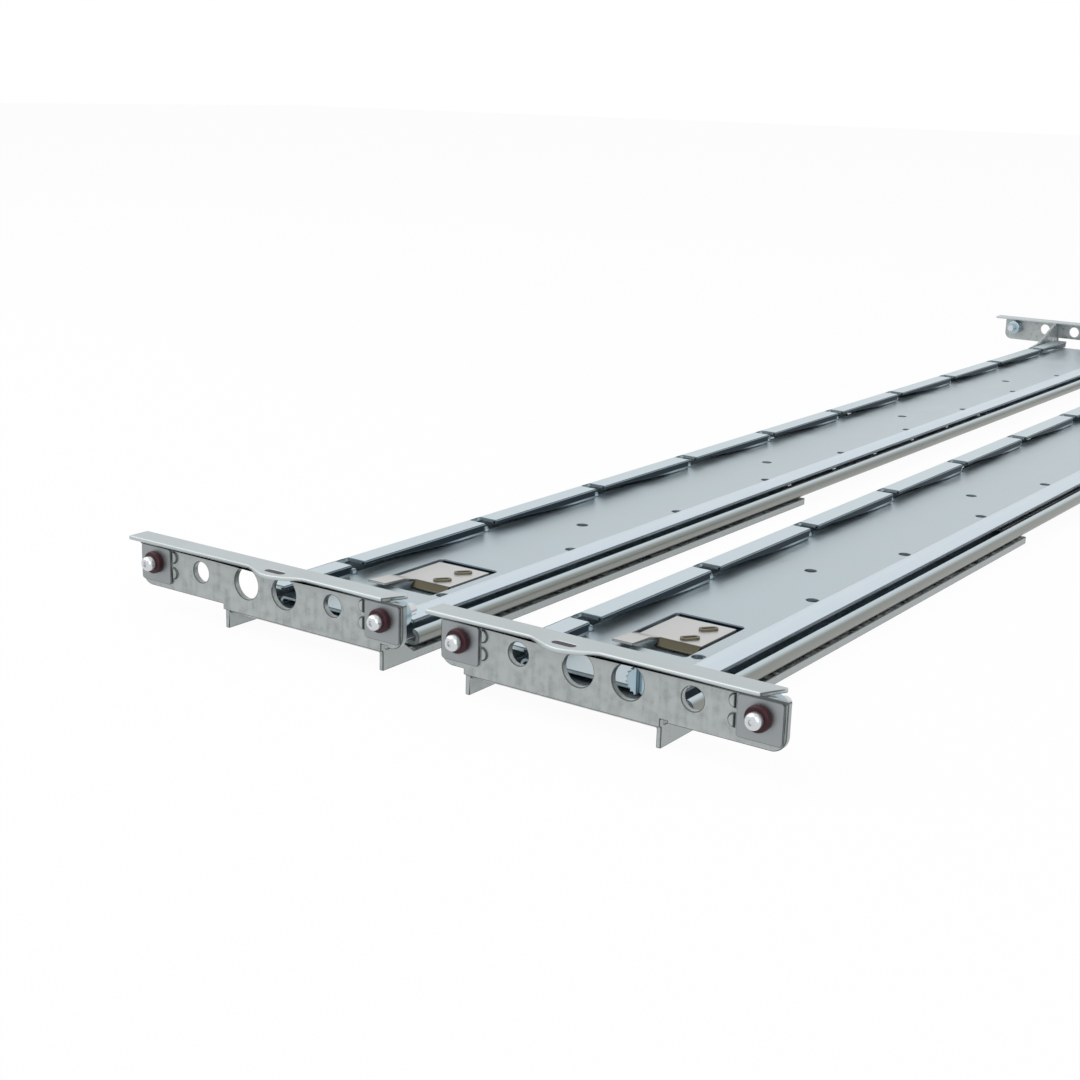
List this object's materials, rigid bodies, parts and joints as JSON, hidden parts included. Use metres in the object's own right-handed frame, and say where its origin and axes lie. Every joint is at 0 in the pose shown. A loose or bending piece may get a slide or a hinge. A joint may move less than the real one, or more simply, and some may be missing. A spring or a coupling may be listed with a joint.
{
  "type": "sliding server rail pair",
  "caption": "Pair of telescoping ball-bearing rails that carry a 2U server in a rack, with pinned end plates and depth adjustment.",
  "frame": {"origin": "centre of the pair's footprint, on the surface that the rails lie on", "axes": "+X along the rails from the rear plates to the front plates, +Y to the left, +Z towards the server"},
  "size_m": [0.6288, 0.1916, 0.0183],
  "materials": {
    "zinc_rail": "zinc plated, satin",
    "zinc_bracket": "zinc plated, matt",
    "dark_pad": "matt",
    "bright_steel": "bright",
    "leaf_steel": "spring steel, satin",
    "maroon_collar": "moulded"
  },
  "bodies": {
    "fixed_rails": {"left_outer_channel": "zinc_rail", "left_depth_guides": "bright_steel", "left_front_bracket": "zinc_bracket", "left_front_pads": "dark_pad", "left_front_pins": "bright_steel", "left_front_collars": "maroon_collar", "left_front_barrels": "bright_steel", "left_front_rivets": "bright_steel", "right_outer_channel": "zinc_rail", "right_depth_guides": "bright_steel", "right_front_bracket": "zinc_bracket", "right_front_pads": "dark_pad", "right_front_pins": "bright_steel", "right_front_collars": "maroon_collar", "right_front_barrels": "bright_steel", "right_front_rivets": "bright_steel"},
    "left_rear_bracket": {"left_rear_arm": "zinc_bracket", "left_rear_pads": "dark_pad", "left_rear_pins": "bright_steel", "left_rear_collars": "maroon_collar", "left_rear_barrels": "bright_steel"},
    "left_slide": {"left_sliding_member": "zinc_rail"},
    "left_cage": {"left_ball_cages": "bright_steel", "left_balls": "bright_steel"},
    "left_leaf": {"left_latch_leaf": "leaf_steel", "left_latch_rivets": "bright_steel"},
    "right_rear_bracket": {"right_rear_arm": "zinc_bracket", "right_rear_pads": "dark_pad", "right_rear_pins": "bright_steel", "right_rear_collars": "maroon_collar", "right_rear_barrels": "bright_steel", "right_captive_screw": "bright_steel"},
    "right_slide": {"right_sliding_member": "zinc_rail"},
    "right_cage": {"right_ball_cages": "bright_steel", "right_balls": "bright_steel"},
    "right_leaf": {"right_latch_leaf": "leaf_steel", "right_latch_rivets": "bright_steel"}
  },
  "joints": [
    {"name": "left_slide_out", "type": "slide", "parent": "fixed_rails", "child": "left_slide", "axis": [1, 0, 0], "range_m": [0, 0.38]},
    {"name": "left_cage_roll", "type": "slide", "parent": "fixed_rails", "child": "left_cage", "axis": [1, 0, 0], "range_m": [0, 0.19]},
    {"name": "left_depth_adjust", "type": "slide", "parent": "fixed_rails", "child": "left_rear_bracket", "axis": [-1, 0, 0], "range_m": [0, 0.1]},
    {"name": "left_leaf_flex", "type": "hinge", "parent": "left_slide", "child": "left_leaf", "pos_m": [-0.2432, 0.0361, 0.0053], "axis": [0, 1, 0], "range_deg": [0, 5], "stiffness_Nm_per_rad": 0.02},
    {"name": "right_slide_out", "type": "slide", "parent": "fixed_rails", "child": "right_slide", "axis": [1, 0, 0], "range_m": [0, 0.38]},
    {"name": "right_cage_roll", "type": "slide", "parent": "fixed_rails", "child": "right_cage", "axis": [1, 0, 0], "range_m": [0, 0.19]},
    {"name": "right_depth_adjust", "type": "slide", "parent": "fixed_rails", "child": "right_rear_bracket", "axis": [-1, 0, 0], "range_m": [0, 0.1]},
    {"name": "right_leaf_flex", "type": "hinge", "parent": "right_slide", "child": "right_leaf", "pos_m": [-0.2432, -0.0404, 0.0053], "axis": [0, 1, 0], "range_deg": [0, 5], "stiffness_Nm_per_rad": 0.02}
  ],
  "couplings": [
    {"joint": "left_cage_roll", "follows": "left_slide_out", "ratio": 0.5},
    {"joint": "right_cage_roll", "follows": "right_slide_out", "ratio": 0.5}
  ]
}
